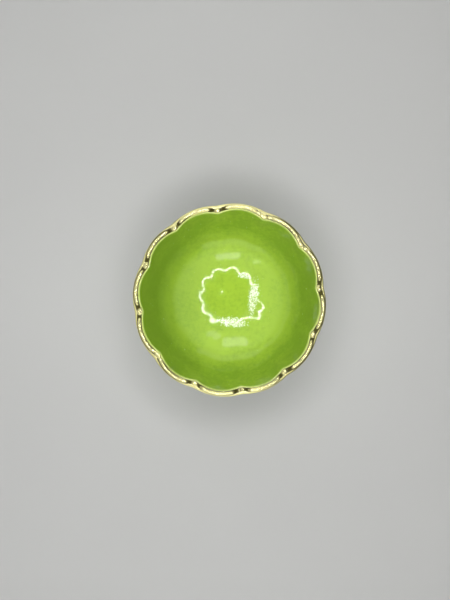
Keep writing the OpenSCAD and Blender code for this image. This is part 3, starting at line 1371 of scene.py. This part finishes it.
            # Painted shade on the flanks of the scroll and in the dip beyond each end of its core.
            across = abs(corner.co.xy.length - lobes.arc_radius) / (self.core_width / 2)
            start = starts[corner.co.y > 0]
            to_tip = 0.0 if beside in filled else start + self.core_tip - from_end
            corner[shade_mark] = self.shade_round_core(across, to_tip / self.core_tip)
        move(shape, (lobes.arc_centre, 0, self.bowl.lip_z))
        turn(shape, lobes.step * (index - 1))
        hand.shift(shape)
        node = f"rim_scroll_{index:02d}"
        return make_piece(f"{node}_gilt", shape, node, material)

    def bead_top(self, across: float, along: float, fall: float) -> float:
        """Finds the height of a bead: round across, and lower towards both ends.

        Args:
            across: Place across the bead, on a circle of radius 1.
            along: Place along it.
            fall: Share of the height that is lost at the ends.

        Returns:
            The height above the lip.
        """
        half = self.bead_width / 2
        round_top = crown_radius(half, self.bead_crown)
        width = math.sqrt(max(TINY, 1 - along**2))
        share = min(1.0, abs(across) / width)
        top = self.height - self.bead_drop - round_top
        top += math.sqrt(round_top**2 - (share * half) ** 2)
        return top * (1 - fall * abs(along) ** self.fall_power)

    def bead_shape(self, size: float, fall: float) -> BMesh:
        """Models the oval of a bead, with a skirt that goes down into the glaze.

        Args:
            size: Size of the bead, as a share.
            fall: Share of the height that is lost at the ends.

        Returns:
            The mesh, about the bead's own middle.
        """
        shape = bmesh.new()
        shape.verts.layers.float.new(Mark.PAINTED_SHADE.value)
        bmesh.ops.create_uvsphere(shape, u_segments=48, v_segments=32, radius=1.0)
        cut = bmesh.ops.bisect_plane(
            shape,
            geom=shape.verts[:] + shape.edges[:] + shape.faces[:],
            plane_co=(0, 0, self.bead_cut),
            plane_no=(0, 0, 1),
            clear_inner=True,
        )
        for corner in shape.verts:
            corner.co.z = self.bead_top(corner.co.x, corner.co.y, fall)
        halves = (size * self.bead_width / 2, size * self.bead_length / 2, 1.0)
        bmesh.ops.scale(shape, verts=shape.verts, vec=halves)
        rim = [edge for edge in cut["geom_cut"] if isinstance(edge, BMEdge)]
        skirt = bmesh.ops.extrude_edge_only(shape, edges=rim)["geom"]
        for corner in skirt:
            if isinstance(corner, BMVert):
                corner.co.z = -self.sunk
        hem = [edge for edge in skirt if isinstance(edge, BMEdge)]
        bmesh.ops.holes_fill(shape, edges=hem, sides=0)
        bmesh.ops.recalc_face_normals(shape, faces=shape.faces)
        return shape

    def bead(self, index: int, hand: HandFinish, chance: random.Random, material: Material) -> Object:
        """Models one bead: an oval that lies along the lip and comes down to it at both ends.

        Args:
            index: Number of the notch, from 1.
            hand: The wander of hand-finished ware.
            chance: Source of the small differences between beads.
            material: The gilding.

        Returns:
            The piece.
        """
        lobes = self.bowl.lobes
        filled = index in self.bowl.filled
        reach = lobes.notch + self.bead_length / 4 * math.tan(lobes.half_angle - lobes.step / 2)
        fall = 1 - self.filled_rise if filled else 1.0
        shape = self.bead_shape(chance.uniform(*self.bead_spread), fall)
        shade_mark = shape.verts.layers.float[Mark.PAINTED_SHADE.value]
        for corner in shape.verts:
            # Painted shade round the burnished middle of the bead.
            along = 0.0 if filled else abs(corner.co.y) / self.bead_core[1]
            corner[shade_mark] = self.shade_round_core(abs(corner.co.x) / self.bead_core[0], along)
            if index in self.pinched:
                off = corner.co.y / (self.pinch_length * self.bead_length)
                pinch = math.exp(-(off**2))
                corner.co.z -= self.pinch_depth * pinch * max(0.0, corner.co.z / self.height)
                corner.co.x *= 1 - self.pinch_waist * pinch
        turn(shape, chance.uniform(-self.bead_tilt, self.bead_tilt))
        move(shape, (reach, 0, self.bowl.lip_z))
        turn(shape, lobes.step * (index - 0.5))
        hand.shift(shape)
        node = f"rim_bead_{index:02d}"
        return make_piece(f"{node}_gilt", shape, node, material)

    def build(self, hand: HandFinish, material: Material) -> list[Object]:
        """Models all the relief and dresses it.

        Args:
            hand: The wander of hand-finished ware.
            material: The gilding.

        Returns:
            The pieces.
        """
        chance = random.Random(self.seed)
        numbers = range(1, self.bowl.lobes.count + 1)
        scrolls = [self.scroll(i, hand, chance, material) for i in numbers]
        beads = [self.bead(i, hand, chance, material) for i in numbers]
        return scrolls + beads


@dataclass
class Neck:
    """The gilt collar between foot and bowl, and the two slip seams that hold it.

    Attributes:
        radius: Radius of the neck.
        hollow_radius: Radius of the hollow through it.
        seam_inset: How far a seam stays back from the neck.
        seam_swell: How far the sponged slip swells out of a seam.
        swell_size: Distance over which the swelling changes.
        soft: Radius of the collar's own edges.
        sides: Sides of the meshes.
    """

    radius: float = 14 * MM
    hollow_radius: float = 9 * MM
    seam_inset: float = 0.3 * MM
    seam_swell: float = 0.22 * MM
    swell_size: float = 4 * MM
    soft: float = 0.25 * MM
    sides: int = 192

    def ring(self, outline: Sequence[Vector]) -> BMesh:
        """Turns a closed outline into a ring."""
        return turned([OutlinePoint(p.x, p.y) for p in outline], self.sides, closed=True)

    def collar(self, material: Material) -> Object:
        """Models the collar: a round bulge on a plain bore.

        Args:
            material: The gilding.

        Returns:
            The piece.
        """
        low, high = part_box("neck_collar")
        middle = (low.z + high.z) / 2
        half = (high.z - low.z) / 2
        bulge = crown_radius(half, high.x - self.radius)
        spread = math.asin(half / bulge)
        outline = arc(Vector((high.x - bulge, middle)), bulge, -spread, spread, steps=28)
        bore = self.hollow_radius + self.soft
        upper, lower = (Vector((bore, z)) for z in (high.z - self.soft, low.z + self.soft))
        outline += arc(upper, self.soft, RIGHT_ANGLE, 2 * RIGHT_ANGLE, steps=5)
        outline += arc(lower, self.soft, 2 * RIGHT_ANGLE, 3 * RIGHT_ANGLE, steps=5)
        shape = self.ring(outline)
        return make_piece("neck_collar_gilt", shape, "neck_collar", material)

    def seam(self, node: str, material: Material) -> Object:
        """Models one slip seam, squeezed out a little unevenly all round.

        Args:
            node: The solid of the seam.
            material: The slip.

        Returns:
            The piece.
        """
        low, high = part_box(node)
        middle = (low.z + high.z) / 2
        half = (high.z - low.z) / 2
        inner = self.hollow_radius + self.seam_inset
        outer = self.radius - self.seam_inset
        outline = arc(Vector((outer, middle)), half, -RIGHT_ANGLE, RIGHT_ANGLE, steps=10)
        outline += arc(Vector((inner + half, middle)), half, RIGHT_ANGLE, 3 * RIGHT_ANGLE, steps=10)
        shape = self.ring(outline)
        for corner in shape.verts:
            out = corner.co.xy.length
            if out > outer:
                swell = 0.5 + 0.5 * noise.noise(corner.co / self.swell_size)
                draw_in(corner, 1 + self.seam_swell * swell * (out - outer) / half / out)
        return make_piece(f"{node}_seam", shape, node, material)

    def build(self, gilding: Material, slip: Material) -> list[Object]:
        """Models the neck and dresses it, the collar with gilding and the seams with slip."""
        return [self.collar(gilding), self.seam("foot_slip", slip), self.seam("bowl_slip", slip)]


@dataclass
class Foot:
    """The hollow pedestal foot, fluted like the bowl, with a gilt line round its edge.

    Attributes:
        crest: Radius of the foot at a lobe.
        top_z: Height of its neck.
        lobes: The scalloped line of the lip, which the foot follows.
        neck_radius: Radius of the neck.
        hollow_radius: Radius of the hollow through the neck.
        edge_height: Height of the upright edge.
        edge_round: Radius that softens the edge.
        gilt_margin: How far the gilt line reaches up over the edge.
        standing_ring: Width of the ring that stands on the table, at a notch.
        notch_depth: How far a notch dips in.
        sides: Sides of the mesh.
        edge_steps: Steps of the outline round each corner of the edge.
    """

    crest: float
    top_z: float
    lobes: Lobes
    neck_radius: float = 14 * MM
    hollow_radius: float = 9 * MM
    edge_height: float = 2.6 * MM
    edge_round: float = 0.7 * MM
    gilt_margin: float = 0.9 * MM
    standing_ring: float = 3.5 * MM
    notch_depth: float = 1.3 * MM
    sides: int = 288
    edge_steps: int = 6

    @classmethod
    def from_frame(cls, lobes: Lobes) -> "Foot":
        """Takes the foot's size from its solid."""
        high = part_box("foot")[1]
        return cls(crest=high.x, top_z=high.z, lobes=lobes)

    def sweep(self, first: float, last: float, top: float, bottom: float, steps: int) -> list[Vector]:
        """Draws a quarter of an oval that flares from upright to level.

        Args:
            first: Radius at the top.
            last: Radius at the bottom.
            top: Height of the top.
            bottom: Height of the bottom.
            steps: Number of steps.

        Returns:
            The points, from the top down.
        """
        angles = (RIGHT_ANGLE * i / steps for i in range(steps + 1))
        return [
            Vector((first + (last - first) * (1 - math.cos(a)), top + (bottom - top) * math.sin(a)))
            for a in angles
        ]

    def outline(self) -> list[OutlinePoint]:
        """Draws the outline from the neck, down the sweep, under the ring and up the hollow.

        Returns:
            The outline's points, with the gilt line and the bare ring marked.
        """
        rounded = self.edge_round
        shoulder = self.crest - rounded
        ring_inner = shoulder - self.notch_depth - self.standing_ring
        upper, lower = (Vector((shoulder, z)) for z in (self.edge_height - rounded, rounded))
        outside = self.sweep(self.neck_radius, shoulder, self.top_z, self.edge_height, steps=40)
        edge = arc(upper, rounded, RIGHT_ANGLE, 0, self.edge_steps)[1:]
        edge += arc(lower, rounded, 0, -RIGHT_ANGLE, self.edge_steps)
        ring = straight(edge[-1], Vector((ring_inner, 0.0)), steps=8)
        hollow = self.sweep(self.hollow_radius, ring_inner, self.top_z, 0.0, steps=30)[::-1]
        points = outside + edge + ring + hollow
        lengths = run_lengths(points)
        edge_end = len(outside) + len(edge)
        gilt_start = lengths[len(outside) - 1] - self.gilt_margin
        gilt_end = lengths[len(outside) + self.edge_steps]
        bare_start = lengths[edge_end - 2]
        bare_end = lengths[edge_end + len(ring)]
        drop = self.top_z - self.edge_height
        marked = []
        for order, (p, s) in enumerate(zip(points, lengths)):
            share = min(1.0, (self.top_z - p.y) / drop) if order < edge_end else 0.0
            marked.append(
                OutlinePoint(
                    radius=p.x,
                    height=p.y,
                    notch=self.notch_depth * share,
                    gilt=min(s - gilt_start, gilt_end - s) / MM,
                    ridge=-share,
                    bare=min(s - bare_start, bare_end - s) / MM,
                )
            )
        return marked

    def build(self, material: Material) -> Object:
        """Models the foot and dresses it.

        Args:
            material: The glaze, with the gilt line.

        Returns:
            The piece.
        """
        shape = turned(self.outline(), self.sides, closed=True)
        scallop(shape, self.lobes)
        return make_piece("foot_glazed", shape, "foot", material)


# Studio


class SmallLamp(NamedTuple):
    """A small flat lamp that hangs level with the camera.

    Attributes:
        name: Its name.
        right: How far right of the camera it hangs.
        up: How far up the picture from the camera it hangs.
        width: Its width.
        depth: Its depth, up the picture.
        power: Its brightness.
    """

    name: str
    right: float
    up: float
    width: float
    depth: float
    power: float


@dataclass
class Studio:
    """The pale table, the soft lights round it and the camera straight above.

    Attributes:
        roll: Turn of the camera and the lights about the axis of the bowl.
        camera_height: Height of the camera above the table.
        camera_left: How far the camera stands left of the axis of the bowl.
        lens: Focal length of the camera.
        sensor: Long side of its sensor.
        clip: Nearest and farthest that it sees.
        table_tone: Tone of the table and of the backdrop that rises from it.
        table_tint: Tint of the table.
        backdrop_tone: Tone at which the far backdrop shows.
        backdrop_tint: Tint of the far backdrop.
        far_colour: Colour of the far backdrop to other light.
        far_reach: Where the table starts and stops to turn into the far backdrop, as shares.
        table_radius: Where the table starts to rise.
        table_rise: Radius of that rise, as a share.
        backdrop_height: Height of the backdrop.
        paint_scale: Clouds in a paint, per metre.
        paint_spread: Least and most of its tone, as shares.
        paint_roughness: Roughness of a paint.
        paint_shine: Strength of its shine.
        sky: Brightness of the white ceiling overhead.
        low_sky: Its brightness half way down.
        sky_reach: Angles from overhead between which it brightens.
        sky_fill: Share of it that fills the shadows.
        top_power: Brightness of the wide circle of light under the ceiling.
        top_height: Height of that circle.
        top_radius: Its radius.
        top_width: Its width.
        top_left: How much broader it is at the left.
        top_near: How much broader it is below the picture.
        top_oval: How much broader it is above and below the picture than at the sides.
        ring_place: Middle of the ring lamp, right of and up from the camera.
        ring_radius: Radius of the ring lamp.
        ring_tube: Half the width of its tube.
        ring_power: Brightness of the ring lamp.
        ring_squareness: How far its sides are pressed in towards a square.
        bulge: How far the ring lamp bulges out at one place, as a share of its radius.
        bulge_angle: Where it bulges.
        bulge_width: Angle over which it does.
        holder_share: Radius of the holder inside the ring lamp, as a share.
        holder_gap: Height of the holder over the lamp.
        holder_colour: Colour of the holder.
        flag_distance: Distance of the dark flag at the right.
        flag_reach: Heights of its lower and upper edge.
        flag_spread: Angle that it covers.
        flag_colour: Colour of its cloth.
        box_power: Brightness of the soft boxes above and below the picture.
        box_fill: Share of it that fills the shadows.
        box_size: Width and height of a soft box.
        box_distance: Distance of a soft box from the axis of the bowl.
        box_height: Height of its middle.
        show_fill: Share of the light of the lamps round the camera that fills the shadows.
        small_lamps: The small lamps round the camera, which show in the glaze.
        corner_share: Radius of the corners of a panel, as a share of its shorter side.
        sides: Sides of the table and of the circle of light.
    """

    roll: float = math.radians(7.5)
    camera_height: float = 0.300
    camera_left: float = 2.35 * MM
    lens: float = 27.43
    sensor: float = 36.0
    clip: Range = (0.01, 20.0)
    table_tone: float = 0.53
    table_tint: Colour = (1.0, 1.005, 0.985)
    backdrop_tone: float = 0.55
    backdrop_tint: Colour = (1.0, 1.0, 0.985)
    far_colour: Colour = (0.02, 0.02, 0.02)
    far_reach: Range = (0.28, 0.52)
    table_radius: float = 0.9
    table_rise: float = 0.25
    backdrop_height: float = 0.85
    paint_scale: float = 14.0
    paint_spread: Range = (0.985, 1.015)
    paint_roughness: float = 0.9
    paint_shine: float = 0.1
    sky: float = 0.95
    low_sky: float = 0.15
    sky_reach: Range = (math.radians(62), math.radians(24))
    sky_fill: float = 0.05
    top_power: float = 10.0
    top_height: float = 0.62
    top_radius: float = 0.30
    top_width: float = 0.08
    top_left: float = 0.12
    top_near: float = 0.05
    top_oval: float = 0.65
    ring_place: Range = (3 * MM, -8 * MM)
    ring_radius: float = 55 * MM
    ring_tube: float = 1.2 * MM
    ring_power: float = 36.0
    ring_squareness: float = 0.03
    bulge: float = 0.32
    bulge_angle: float = math.radians(154)
    bulge_width: float = math.radians(15)
    holder_share: float = 0.9
    holder_gap: float = 12 * MM
    holder_colour: Colour = (0.03, 0.03, 0.03)
    flag_distance: float = 0.42
    flag_reach: Range = (0.02, 0.36)
    flag_spread: float = math.radians(120)
    flag_colour: Colour = (0.035, 0.032, 0.010)
    box_power: float = 0.95
    box_fill: float = 0.1
    box_size: Range = (0.6, 0.46)
    box_distance: float = 0.40
    box_height: float = 0.25
    show_fill: float = 0.1
    small_lamps: tuple[SmallLamp, ...] = (
        SmallLamp("far_strip", 0, -92 * MM, 54 * MM, 16 * MM, 4.0),
        SmallLamp("far_spot", -55 * MM, -80 * MM, 26 * MM, 11 * MM, 3.2),
        SmallLamp("near_strip", -11 * MM, 88 * MM, 58 * MM, 24 * MM, 3.4),
        SmallLamp("near_spot", 35 * MM, 72 * MM, 24 * MM, 15 * MM, 2.6),
        SmallLamp("pilot", 17 * MM, -14.5 * MM, 5 * MM, 3 * MM, 25.0),
    )
    corner_share: float = 0.45
    sides: int = 96

    def emitter(self, name: str, power: float, fill: float = 1.0) -> Material:
        """Makes a lamp's white light.

        Args:
            name: The material's name.
            power: Its brightness.
            fill: Share of it that lights matt surfaces; the rest only shows in the glaze.

        Returns:
            The material.
        """
        material, wiring, light = new_material(name, "ShaderNodeEmission")
        strength: Any = power
        if fill < 1:
            path = wiring.node("ShaderNodeLightPath")
            strength = wiring.blend(path.outputs["Is Diffuse Ray"], power, power * fill)
        wiring.feed(light.inputs["Strength"], strength)
        return material

    def paint(self, name: str, colour: Colour) -> tuple[Material, Wiring, Node]:
        """Makes a plain matt paint with a faint cloud.

        Args:
            name: The material's name.
            colour: Its colour.

        Returns:
            The material, its wiring and its shader.
        """
        material, wiring, shader = new_material(name)
        dark, light = (tuple(share * c for c in colour) for share in self.paint_spread)
        feeds = {
            "Base Color": wiring.mix(wiring.noise(self.paint_scale, detail=3.0), dark, light),
            "Roughness": self.paint_roughness,
            "Specular IOR Level": self.paint_shine,
        }
        wiring.feed_all(shader, feeds)
        return material, wiring, shader

    def table_paper(self) -> Material:
        """Makes the pale paper of the table, which shows evenly pale far from the bowl.

        Returns:
            The material.
        """
        colour = tuple(self.table_tone * tint for tint in self.table_tint)
        material, wiring, shader = self.paint("table_paper", colour)
        near = shader.inputs["Base Color"].links[0].from_socket
        reach = (share * self.table_radius for share in self.far_reach)
        far = wiring.ramp(wiring.measure("LENGTH", wiring.place()), *reach)
        path = wiring.node("ShaderNodeLightPath")
        seen = path.outputs["Is Camera Ray"]
        for ray in ("Is Glossy Ray", "Is Transmission Ray"):
            seen = wiring.math("MAXIMUM", seen, path.outputs[ray])
        glow = wiring.math("MULTIPLY", wiring.math("MULTIPLY", far, seen), self.backdrop_tone)
        feeds = {
            "Base Color": wiring.mix(far, near, self.far_colour),
            "Emission Color": self.backdrop_tint,
            "Emission Strength": glow,
        }
        wiring.feed_all(shader, feeds)
        return material

    def stage(self, name: str, shape: BMesh, material: Material, seen: bool = False) -> Object:
        """Puts up a part of the studio.

        Args:
            name: Its name.
            shape: Its mesh, which is used up.
            material: Its finish.
            seen: Whether the camera sees it.

        Returns:
            The part.
        """
        turn(shape, self.roll)
        part = mesh_object(name, shape, material)
        part.visible_camera = seen
        return part

    def table(self) -> None:
        """Lays the table and lets it rise into a backdrop all round."""
        rise = self.table_rise * self.table_radius
        curve = arc(Vector((self.table_radius, rise)), rise, -RIGHT_ANGLE, 0, steps=12)
        top = Vector((self.table_radius + rise, self.backdrop_height))
        outline = [OutlinePoint(p.x, p.y) for p in [Vector((0, 0)), *curve, top]]
        shape = turned(outline, self.sides, closed=False)
        self.stage("table", shape, self.table_paper(), seen=True)

    def panel(
        self, name: str, centre: Vector, facing: Vector, size: Vector, material: Material
    ) -> None:
        """Hangs a flat panel with round corners.

        Args:
            name: Its name.
            centre: Its middle.
            facing: The way that it faces.
            size: Its width and height.
            material: Its finish.
        """
        shape = bmesh.new()
        bmesh.ops.create_grid(shape, x_segments=1, y_segments=1, size=0.5)
        bmesh.ops.scale(shape, verts=shape.verts, vec=(size.x, size.y, 1))
        bmesh.ops.bevel(
            shape,
            geom=shape.verts[:],
            offset=self.corner_share * min(size),
            segments=6,
            profile=0.5,
            affect="VERTICES",
            material=-1,
        )
        tilt = facing.to_track_quat("Z", "Y").to_matrix()
        bmesh.ops.rotate(shape, verts=shape.verts, matrix=tilt)
        move(shape, centre)
        self.stage(name, shape, material)

    def flag(self) -> None:
        """Stands a curved dark flag at the right."""
        shape = bmesh.new()
        shape.edges.new([shape.verts.new((self.flag_distance, 0, z)) for z in self.flag_reach])
        turn(shape, -self.flag_spread / 2)
        spin(shape, self.flag_spread, steps=16)
        cloth = self.paint("flag_right_cloth", self.flag_colour)[0]
        self.stage("flag_right", shape, cloth)

    def ring_lamp(self) -> None:
        """Hangs the ring lamp round the camera."""
        shape = bmesh.new()
        bmesh.ops.create_circle(shape, segments=12, radius=self.ring_tube)
        upright = Matrix.Rotation(RIGHT_ANGLE, 3, "X")
        bmesh.ops.rotate(shape, verts=shape.verts, matrix=upright)
        move(shape, (self.ring_radius, 0, self.camera_height))
        spin(shape, FULL_TURN, steps=192)
        for corner in shape.verts:
            angle = angle_of(corner)
            off = math.remainder(angle - self.bulge_angle, FULL_TURN) / self.bulge_width
            square = self.ring_squareness * math.cos(4 * angle)
            draw_in(corner, 1 - square + self.bulge * math.exp(-(off**4)))
        move(shape, (*self.ring_place, 0))
        light = self.emitter("ring_light", self.ring_power, self.show_fill)
        self.stage("ring_lamp", shape, light)

    def top_lamp(self) -> None:
        """Hangs the wide circle of light, broader above and below the picture and at its left."""
        inner, outer = (self.top_radius + side * self.top_width / 2 for side in (-1, 1))
        ends = [OutlinePoint(inner, self.top_height), OutlinePoint(outer, self.top_height)]
        shape = turned(ends, self.sides, closed=False)
        for corner in shape.verts:
            angle = angle_of(corner)
            broad = 1 - self.top_left * math.cos(angle) - self.top_near * math.sin(angle)
            broad -= self.top_oval * math.cos(2 * angle)
            radius = corner.co.xy.length
            draw_in(corner, (self.top_radius + broad * (radius - self.top_radius)) / radius)
        lamp = self.stage("top_lamp", shape, self.emitter("top_light", self.top_power))
        lamp.visible_glossy = False

    def lamp_holder(self) -> None:
        """Hangs the dark holder inside the ring lamp, which only shows in the glaze."""
        shape = bmesh.new()
        radius = self.holder_share * self.ring_radius
        bmesh.ops.create_circle(shape, cap_ends=True, segments=48, radius=radius)
        move(shape, (*self.ring_place, self.camera_height + self.holder_gap))
        holder = self.stage("lamp_holder", shape, self.paint("holder_black", self.holder_colour)[0])
        holder.visible_diffuse = False
        holder.visible_shadow = False

    def soft_boxes(self) -> None:
        """Stands a soft box above and one below the picture."""
        light = self.emitter("soft_box_light", self.box_power, self.box_fill)
        size = Vector(self.box_size)
        for side, label in ((-1, "near"), (1, "far")):
            place = Vector((0, self.box_distance * side, self.box_height))
            self.panel(f"soft_box_{label}", place, Vector((0, -side, 0)), size, light)

    def hang_small_lamps(self) -> None:
        """Hangs the small lamps round the camera."""
        for lamp in self.small_lamps:
            light = self.emitter(f"{lamp.name}_light", lamp.power, self.show_fill)
            place = Vector((lamp.right, lamp.up, self.camera_height))
            size = Vector((lamp.width, lamp.depth))
            self.panel(lamp.name, place, Vector((0, 0, -1)), size, light)

    def ceiling(self) -> None:
        """Lights the room with a plain white ceiling."""
        world = bpy.data.worlds.new("ceiling")
        world.use_nodes = True
        wiring = Wiring(world.node_tree)
        view = wiring.node("ShaderNodeTexCoord").outputs["Generated"]
        height = wiring.node("ShaderNodeSeparateXYZ", {"Vector": view}).outputs["Z"]
        overhead = wiring.ramp(height, *(math.cos(angle) for angle in self.sky_reach))
        shown = wiring.blend(overhead, self.low_sky, self.sky)
        dimmed = wiring.math("MULTIPLY", shown, self.sky_fill)
        path = wiring.node("ShaderNodeLightPath")
        strength = wiring.blend(path.outputs["Is Diffuse Ray"], shown, dimmed)
        background = wiring.node("ShaderNodeBackground", {"Strength": strength})
        wiring.node("ShaderNodeOutputWorld", {"Surface": background.outputs["Background"]})
        bpy.context.scene.world = world

    def camera(self) -> None:
        """Sets the camera straight above the bowl."""
        data = bpy.data.cameras.new("camera")
        data.lens = self.lens
        data.sensor_width = self.sensor
        data.clip_start, data.clip_end = self.clip
        camera = bpy.data.objects.new("camera", data)
        left = Vector((-self.camera_left, 0, self.camera_height))
        camera.location = Matrix.Rotation(self.roll, 3, "Z") @ left
        camera.rotation_euler = (0, 0, self.roll)
        bpy.context.scene.collection.objects.link(camera)
        bpy.context.scene.camera = camera

    def build(self) -> None:
        """Puts up the whole studio."""
        bpy.context.scene.view_settings.view_transform = "Standard"
        self.table()
        self.top_lamp()
        self.ring_lamp()
        self.lamp_holder()
        self.ceiling()
        self.camera()
        self.soft_boxes()
        self.hang_small_lamps()
        self.flag()


def main() -> None:
    """Builds the bowl, its relief, its neck and its foot in order, then the studio round them."""
    logging.basicConfig(level=logging.INFO, format="%(name)s: %(message)s")
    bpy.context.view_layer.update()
    effects = SharedEffects()
    hand = HandFinish()
    gilding = Gilding()
    glazed = GreenGlaze().material("green_glaze", gilding, effects)
    gilt = gilding.material("gilding", effects)
    slip = FiredSlip().material("fired_slip", effects)

    bowl = Bowl.from_frame()
    pieces = [bowl.build(hand, glazed)]
    pieces += RimRelief.from_frame(bowl).build(hand, gilt)
    pieces += Neck().build(gilt, slip)
    pieces.append(Foot.from_frame(bowl.lobes).build(glazed))
    for piece in pieces:
        log.info("%s is built, with %d faces", piece.name, len(piece.data.polygons))
    Studio().build()
    log.info("the studio is up")


if __name__ == "__main__":
    main()
